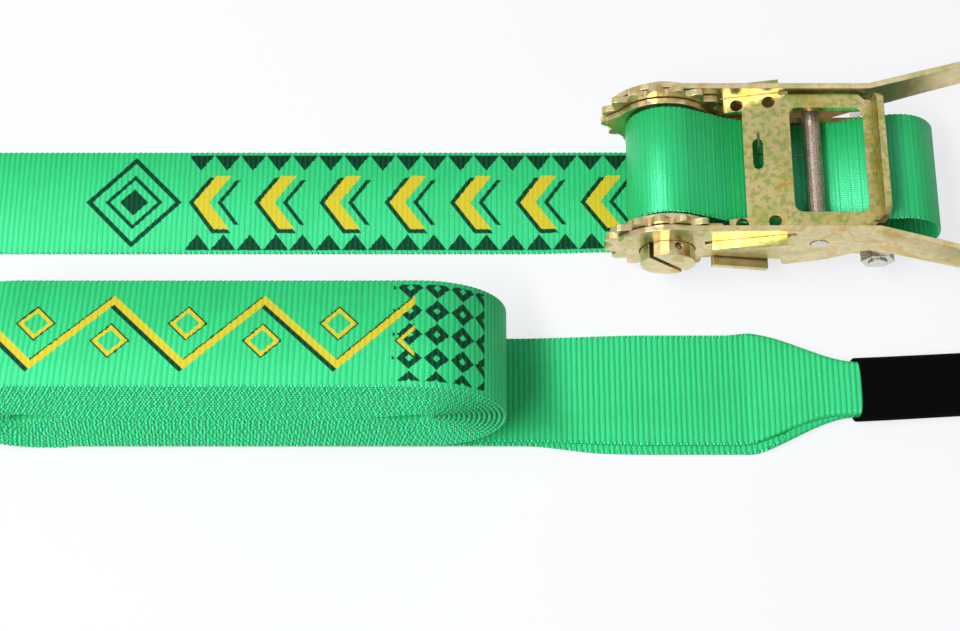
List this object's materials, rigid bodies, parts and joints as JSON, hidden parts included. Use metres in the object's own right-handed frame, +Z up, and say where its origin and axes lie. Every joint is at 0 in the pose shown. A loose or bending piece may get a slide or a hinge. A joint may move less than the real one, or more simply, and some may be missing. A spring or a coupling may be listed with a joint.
{
  "type": "slackline",
  "caption": "Ratchet slackline set: short webbing strap wound on a steel ratchet tensioner, and a flat roll of webbing line with a sewn, sleeved eye",
  "frame": {"origin": "middle of the set's bounding box on the ground it lies on", "axes": "+X along both webbings towards the ratchet's grip, +Y from the rolled line to the ratchet, +Z up"},
  "size_m": [0.6, 0.165, 0.0718],
  "materials": {
    "webbing": "woven polyester webbing with cross ribs",
    "zinc": "yellow-passivated zinc plate on stamped steel",
    "steel": "bright zinc-plated steel",
    "dull_steel": "bare grey-brown steel",
    "sleeve": "black woven tubular sleeve"
  },
  "bodies": {
    "base": {"base_frame": "zinc", "lock_pawl_spring": "steel", "base_bolt": "steel", "base_bolt_sleeve": "dull_steel", "base_washer_front": "steel", "base_washer_rear": "steel", "base_nut": "steel", "strap_run": "webbing", "line_roll": "webbing", "line_eye": "webbing", "line_sleeve": "sleeve"},
    "handle": {"handle": "zinc", "handle_rod": "steel", "rod_sleeve": "dull_steel", "drive_pawl_spring": "steel"},
    "spool": {"mandrel_upper": "zinc", "mandrel_lower": "zinc", "sprocket_front": "zinc", "sprocket_rear": "zinc", "split_pin_front": "steel", "split_pin_rear": "steel", "strap_winding": "webbing", "strap_tail": "webbing"},
    "drive_pawl": {"drive_pawl": "zinc"},
    "lock_pawl": {"lock_pawl": "zinc"}
  },
  "joints": [
    {"name": "handle_pivot", "type": "hinge", "parent": "base", "child": "handle", "pos_m": [0.082, 0.0345, 0.029], "axis": [0, -1, 0], "range_deg": [0, 157.5]},
    {"name": "spool_spin", "type": "hinge", "parent": "base", "child": "spool", "pos_m": [0.082, 0.0345, 0.029], "axis": [0, -1, 0], "continuous": true},
    {"name": "drive_pawl_slide", "type": "slide", "parent": "handle", "child": "drive_pawl", "axis": [0.9659, 0, 0.2588], "range_m": [-0.0025, 0.0036], "stiffness_N_per_m": 600, "springref_m": -0.006, "deforming": ["drive_pawl_spring"]},
    {"name": "lock_pawl_slide", "type": "slide", "parent": "base", "child": "lock_pawl", "axis": [0.9816, 0, -0.1908], "range_m": [-0.0025, 0.0036], "stiffness_N_per_m": 600, "springref_m": -0.006, "deforming": ["lock_pawl_spring"]}
  ]
}
